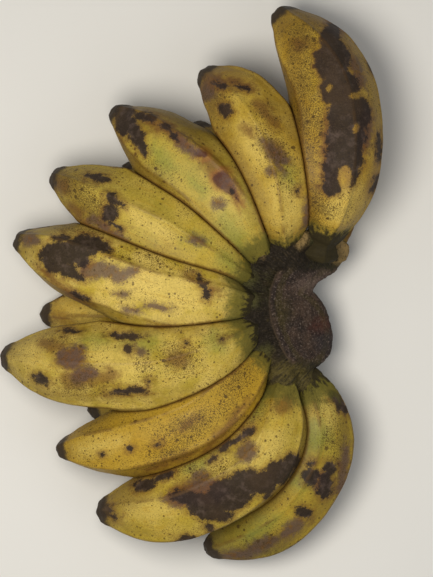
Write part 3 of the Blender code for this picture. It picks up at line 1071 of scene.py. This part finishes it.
# %% Grain, gloss and relief
def finish_peel(peel, hurt):
    grain = peel.fade(peel.fine, 0.3, 0.7, 0.86, 1.08)
    shade = sockets(peel.tree, "ShaderNodeCombineColor", {0: grain, 1: grain, 2: grain}).outputs[0]
    peel.colour = mixed(peel.tree, 1.0, peel.colour, shade, "MULTIPLY")
    rough = peel.fade(peel.middle, 0.3, 0.7, 0.46, 0.62)
    dry = peel.plus(peel.times(hurt, 0.12), peel.times(peel.within("from_neck_green", 3.0, -3.0), 0.3))
    height = peel.plus(peel.times(peel.fine, 0.3), peel.times(peel.ragged, 0.5))
    height = peel.less(height, peel.times(hurt, 0.35))
    height = peel.plus(height, peel.times(peel.within("from_neck_green", 4.0, -4.0), peel.strand))
    return peel.finish(peel.plus(rough, dry), height, strength=0.4, depth_mm=0.7)


def make_peel():
    peel = Peel("peel")
    lay_ground(peel)
    lay_stains(peel)
    lay_freckles(peel)
    hurt = lay_bruises(peel)
    lay_lines_and_ends(peel)
    return finish_peel(peel, hurt)


# %% [markdown]
# Each fruit has its own leanings: how far its colour goes towards ochre, olive and cream, how freckled it
# is, and how much painted shade its sides and the peel beside its contacts get. The last two numbers say how
# many millimetres from its root the dark and the green of its neck end.

# %% Build all the fruits
LEANINGS = ("warm", "olive", "creamy", "freckled", "shaded")
Look = namedtuple("Look", (*LEANINGS, "dark_end", "green_end"))
LOOKS = {
    "banana_outer_1": Look(0.85, 0.25, 0.30, 0.55, 0.7, 22, 24),
    "banana_outer_2": Look(0.65, 0.20, 0.40, 0.20, 0.9, 18, 21),
    "banana_outer_3": Look(0.05, 0.85, 0.35, 0.15, 0.8, 16, 28),
    "banana_outer_4": Look(0.10, 0.65, 0.35, 0.30, 0.4, 17, 26),
    "banana_outer_5": Look(0.05, 0.20, 0.95, 0.20, 0.4, 20, 29),
    "banana_outer_6": Look(0.10, 0.35, 0.80, 0.30, 0.6, 18, 27),
    "banana_outer_7": Look(0.80, 0.15, 0.10, 0.40, 0.2, 17, 25),
    "banana_outer_8": Look(0.25, 0.50, 0.40, 0.30, 0.7, 17, 29),
    "banana_outer_9": Look(0.15, 1.00, 0.05, 0.20, 1.0, 15, 23),
    "banana_inner_1": Look(0.30, 0.30, 0.30, 0.30, 1.0, 3, 4),
    "banana_inner_2": Look(0.60, 0.50, 0.10, 0.30, 0.7, 9, 14),
    "banana_inner_3": Look(0.60, 0.60, 0.10, 0.30, 0.7, 9, 14),
    "banana_inner_4": Look(0.75, 0.00, 0.60, 0.20, 0.0, 9, 14),
    "banana_inner_5": Look(0.60, 0.40, 0.20, 0.30, 0.5, 9, 14),
    "banana_inner_6": Look(0.50, 0.40, 0.20, 0.30, 0.7, 9, 14),
}
peel = make_peel()
for number, (name, look) in enumerate(LOOKS.items()):
    fruit = make_fruit(name, number, look)
    fruit.data.materials.append(peel)
    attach(fruit, "root")
    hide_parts(name)
    low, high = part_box(name)
    print(name, "box in mm", [round(x / MM, 1) for x in (*low, *high)], len(fruit.data.polygons), "faces")

# %% [markdown]
# ## The crown's surface
#
# The crescent, the necks and the webs between them are joined into one skin by remeshing them together, so
# that the necks grow out of the cushion with round roots. The knife takes its slice, and a second remesh
# softens the rim. Then the surface is roughened into dry fibres, and the rim curls up a little, as it does
# when the flesh dries. The upper end is torn, and the lower end of the face is blended into the necks.

# %% Necks of the outer fruits
NECK_START_SHARE = 0.15
NECK_LIFT = 3.5
NECK_ARCH = 1.0
NECK_INWARD = 10.0
NECK_GROWTH = (0.75, 1.06)
NECK_ROOT_RADII = (8.0, 6.0)
SLIM_NECKS = ("banana_outer_9",)
SLIM_SHARE = 0.85
NECK_BLUNTNESS = 6
WEB_SHARES = (0.15, 0.08, 0.0)
WEB_LIFT = 1.5
WEB_RADII = (4.0, 6.5, 8.0)
COLLAR_SHARE = 0.11
COLLAR_GROW = 0.8
COLLAR_TAPER = 2.2
COLLAR_BLUNTNESS = 8
STALK_MIDDLE = 0.5


def blunt_tube(frames, angles, shares, radii, bluntness):
    """A tube along a curve, rounded off at both ends: the more bluntness, the shorter the rounding."""
    centres, sides, ups = frames
    rounded = radii * np.sqrt(np.clip(1 - np.abs(shares * 2 - 1) ** bluntness, 0, 1))
    return centres + rounded[:, None] * around(angles, sides, ups)


def neck_skin(name, angles, shares):
    """A neck from inside the fruit to its root in the crown, and on towards the middle of the hand."""
    line = FRUITS[name].line
    start = along(line, line, np.array([NECK_START_SHARE]))[0]
    own_radii = radius_at(name, np.array([NECK_START_SHARE, NECK_START_SHARE / 2]))
    root = np.array(line[0], float) + (0, 0, NECK_LIFT)
    inward = (root - start) * (1, 1, 0)
    end = root + NECK_INWARD * inward / np.linalg.norm(inward)
    path = (start, (start + root) / 2 + (0, 0, NECK_ARCH), root, end)
    sizes = (*(own_radii * NECK_GROWTH), *NECK_ROOT_RADII)
    if name in SLIM_NECKS:
        sizes = np.array(sizes) * SLIM_SHARE
    radii = along(path, sizes, shares)[:, 0]
    return blunt_tube(frames_along(path, shares), angles, shares, radii, NECK_BLUNTNESS)


def collar_skin(name, angles, shares):
    """A sleeve round an inner fruit's stalk, which ends just under the fruit's own skin."""
    frames = frames_along(FRUITS[name].line, shares * COLLAR_SHARE)
    widest = radius_at(name, np.full(len(shares), FRUITS[name].stalk * STALK_MIDDLE))
    taper = COLLAR_GROW * (1 - COLLAR_TAPER * shares)
    return blunt_tube(frames, angles, shares, widest + taper, COLLAR_BLUNTNESS)


def web_skin(name, other, angles, shares):
    """Tissue between the roots of two neighbouring fruits, a little lower than their necks."""
    lines = (FRUITS[name].line, FRUITS[other].line)
    paths = [along(line, line, np.array(WEB_SHARES)) for line in lines]
    path = (paths[0] + paths[1]) / 2 + (0, 0, WEB_LIFT)
    radii = along(path, WEB_RADII, shares)[:, 0]
    return blunt_tube(frames_along(path, shares), angles, shares, radii, NECK_BLUNTNESS)


# %% Remesh, cut and smooth
CROWN_VOXEL = 0.8
SMOOTHINGS = 4


def evaluated(obj):
    """Applies an object's modifiers."""
    view = bpy.context.evaluated_depsgraph_get()
    mesh = bpy.data.meshes.new_from_object(obj.evaluated_get(view))
    obj.modifiers.clear()
    obj.data = mesh


def remesh(obj, voxel):
    """Gives an object one closed skin of small, even faces."""
    modifier = obj.modifiers.new("skin", "REMESH")
    modifier.mode = "VOXEL"
    modifier.voxel_size = voxel * MM
    evaluated(obj)


def joined(obj, others):
    """Adds the meshes of other objects to an object, and removes them."""
    bm = bmesh.new()
    bm.from_mesh(obj.data)
    for other in others:
        bm.from_mesh(other.data)
        bpy.data.objects.remove(other)
    bm.to_mesh(obj.data)
    bm.free()


def cut_with_knife(obj):
    """Takes the knife's round slice off an object."""
    bm = bmesh.new()
    radius = KNIFE_RADIUS * MM
    bmesh.ops.create_cone(
        bm, cap_ends=True, segments=KNIFE_SEGMENTS, radius1=radius, radius2=radius, depth=KNIFE_LENGTH * MM
    )
    mesh = bpy.data.meshes.new("knife")
    bm.to_mesh(mesh)
    bm.free()
    knife = new_object("knife", mesh)
    knife.location = (knife_axis - ORIGIN) * MM
    knife.rotation_euler = (0.0, -knife_tilt, 0.0)
    modifier = obj.modifiers.new("cut", "BOOLEAN")
    modifier.operation = "DIFFERENCE"
    modifier.object = knife
    evaluated(obj)
    bpy.data.objects.remove(knife)


def smoothed(obj, times):
    """Evens out the steps that the remesh leaves."""
    every_way = {"use_axis_x": True, "use_axis_y": True, "use_axis_z": True}
    bm = bmesh.new()
    bm.from_mesh(obj.data)
    for _ in range(times):
        bmesh.ops.smooth_vert(bm, verts=bm.verts, factor=0.5, **every_way)
    bm.to_mesh(obj.data)
    bm.free()


# %% Build the crown
CROWN_BALL = (64, 48)
NECK_BALL = (32, 32)
OUTER_GRAIN = ((8.0, 0.8), (2.6, 0.45), (1.1, 0.2))
CUT_GRAIN = ((6.0, 0.7), (2.0, 0.5), (0.9, 0.25))
CUT_SEED = 50.0
CUT_FADE = 1.2
TORN_GRAIN = ((9.0, 2.0), (3.5, 1.0))
TORN_SEED = 90.0
TORN_FROM = 4.0
TORN_OVER = 8.0
BLENDED_BELOW = -38.0
PULLED_IN = 3.0
PULLED_PAST = 62.0
RIM_HEIGHT = 1.0
RIM_WIDTH = 1.6
FIBRE_MIDDLE = np.array((88.0, -15.0, 45.0))
FIBRES_ROUND = 40
FIBRES_OUT = 0.12


def cut_crown():
    """The crescent with its necks, collars and webs in one skin, cut by the knife."""
    crown, _, _ = warped_ball("crown_flesh", *CROWN_BALL, crown_skin)
    parts = []
    for name in FRUITS:
        skin = neck_skin if "outer" in name else collar_skin
        parts.append(warped_ball("neck", *NECK_BALL, partial(skin, name))[0])
    outer = [name for name in FRUITS if "outer" in name]
    for name, other in zip(outer, outer[1:]):
        parts.append(warped_ball("web", *NECK_BALL, partial(web_skin, name, other))[0])
    joined(crown, parts)
    remesh(crown, CROWN_VOXEL)
    cut_with_knife(crown)
    remesh(crown, CROWN_VOXEL)
    smoothed(crown, SMOOTHINGS)
    return crown


def make_crown():
    """The cut crown with its grain and curled rim, and with all that its material reads."""
    crown = cut_crown()
    mesh = crown.data
    places = points_of(mesh)
    normals = point_normals(mesh)
    depth = under_cut(places)
    cut_share = np.clip(1 - depth / CUT_FADE, 0, 1)
    torn = np.clip((places[:, 1] - TORN_FROM) / TORN_OVER, 0, 1)
    blended = np.clip((BLENDED_BELOW - places[:, 1]) / TORN_OVER, 0, 1)
    places[:, 0] -= PULLED_IN * blended * np.clip((places[:, 0] - PULLED_PAST) / TORN_OVER, 0, 1)
    clean = (1 - torn) * (1 - blended)
    cut_share = cut_share * clean
    grain = lumps(places, OUTER_GRAIN) * (1 - cut_share) + lumps(places, CUT_GRAIN, CUT_SEED) * cut_share
    grain = grain + lumps(places, TORN_GRAIN, TORN_SEED) * torn
    rim = RIM_HEIGHT * np.exp(-depth / RIM_WIDTH) * (1 - cut_share) * clean
    places = places + (grain + rim)[:, None] * normals
    place_points(mesh, places)
    away = places - FIBRE_MIDDLE
    turned = np.arctan2(away[:, 1], away[:, 0])
    reach = np.hypot(away[:, 0], away[:, 1])
    store(mesh, "cut", depth)
    store(mesh, "torn", np.maximum(torn, blended))
    store(mesh, "from_crown", outside_crown(places))
    fibre = (np.cos(turned) * FIBRES_ROUND, np.sin(turned) * FIBRES_ROUND, reach * FIBRES_OUT)
    store(mesh, "fibre", np.stack(fibre, axis=1))
    pixels = seen_at(places - ORIGIN)
    for kind in PATCH_COLOURS:
        store(mesh, kind, drawn_marks("crown", kind, pixels, normals))
    return crown


# %% The crown's colours
CUT_DARK = rgb(48, 38, 32)
CUT_BROWN = rgb(78, 61, 48)
CUT_RED = rgb(84, 48, 36)
RIM_BROWN = rgb(84, 68, 52)
PATCH_COLOURS = {
    "olive_patch": rgb(72, 62, 30), "grey_patch": rgb(108, 90, 80), "blue_patch": rgb(58, 52, 52),
    "red_patch": rgb(88, 50, 38), "tan_patch": rgb(150, 124, 76), "green_patch": rgb(80, 77, 36),
    "neck_patch": rgb(92, 80, 36),
}
FLESH_DARK = rgb(34, 27, 16)
FLESH_BROWN = rgb(58, 47, 26)
FLESH_GREEN = rgb(70, 70, 32)
# Painted glints, with some dry dust: the light specks laid over the crown.
CROWN_DUST_AND_GLINTS = rgb(136, 120, 108)
# Painted shade: the dark inside the small pits of the dry flesh.
PIT_SHADE = rgb(20, 16, 14)


def make_crown_material():
    skin = Peel("crown_flesh")
    tree = skin.tree
    fibre = attribute(tree, "fibre", "Vector")
    strands = cloud(tree, fibre, 1.1, 5.0, 0.62)
    fine_strands = cloud(tree, fibre, 3.0, 3.0, 0.6)
    inward = skin.times(skin.read("from_crown"), -1.0)
    whole = skin.fade(skin.plus(skin.read("torn"), skin.wander(skin.ragged, 1.5)), 0.8, 0.2)
    cut = skin.times(skin.within("cut", 1.5, 0.3), whole)
    skin.colour = FLESH_DARK
    skin.lay(skin.fade(strands, 0.5, 0.72), FLESH_BROWN, 0.8)
    green_fibre = skin.times(skin.fade(skin.broad, 0.42, 0.62), skin.fade(fine_strands, 0.4, 0.7))
    skin.lay(green_fibre, FLESH_GREEN, 0.6)
    olive_neck = skin.times(skin.within("neck_patch", 5.0, -3.0, 6.0, 8.0), skin.fade(strands, 0.68, 0.4))
    skin.lay(olive_neck, PATCH_COLOURS["neck_patch"], 0.85)
    skin.lay(skin.within("green_patch", 4.0, -2.0, 6.0), PATCH_COLOURS["green_patch"], 0.7)
    skin.lay(skin.within("tan_patch", 2.5, -1.5, 5.0, 3.0), PATCH_COLOURS["tan_patch"], 0.8)
    skin.lay(skin.times(skin.within("cut", 2.4, 1.5, 0.8), skin.less(whole, cut)), RIM_BROWN, 0.6)
    face = mixed(tree, skin.fade(skin.middle, 0.4, 0.65), CUT_DARK, CUT_BROWN)
    face = mixed(tree, skin.times(skin.fade(fine_strands, 0.55, 0.72), 0.8), face, CUT_RED)
    ring = skin.plus(inward, skin.wander(skin.ragged, 2.0))
    ring = skin.times(skin.fade(ring, 2.0, 3.0), skin.fade(ring, 6.5, 5.5))
    face = mixed(tree, skin.times(ring, 0.5), face, PATCH_COLOURS["olive_patch"])
    skin.lay(cut, face)
    for kind in ("blue_patch", "grey_patch", "olive_patch", "red_patch"):
        skin.lay(skin.times(skin.within(kind, 4.0, -3.0, 8.0, 8.0), cut), PATCH_COLOURS[kind], 0.6)
    # Light specks, full on the cut face and a quarter as strong elsewhere: painted glints, with some dry
    # dust.
    glint_and_dust_share = skin.fade(cut, 0.0, 1.0, 0.25, 1.0)
    skin.lay(skin.times(skin.fade(fine_strands, 0.57, 0.68), glint_and_dust_share), CROWN_DUST_AND_GLINTS, 0.4)
    skin.lay(skin.times(skin.fade(skin.fine, 0.56, 0.66), glint_and_dust_share), CROWN_DUST_AND_GLINTS, 0.5)
    # Tiny dark specks where the bump sinks: painted shade in the pits of the dry flesh.
    skin.lay(skin.fade(skin.fine, 0.46, 0.34), PIT_SHADE, 0.7)
    height = skin.plus(skin.times(fine_strands, 0.6), skin.times(skin.fine, 0.5))
    return skin.finish(0.7, skin.plus(strands, height), strength=0.8, depth_mm=1.4)


crown = make_crown()
crown.data.materials.append(make_crown_material())
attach(crown, "root")
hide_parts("crown")
print("crown:", len(crown.data.polygons), "faces")
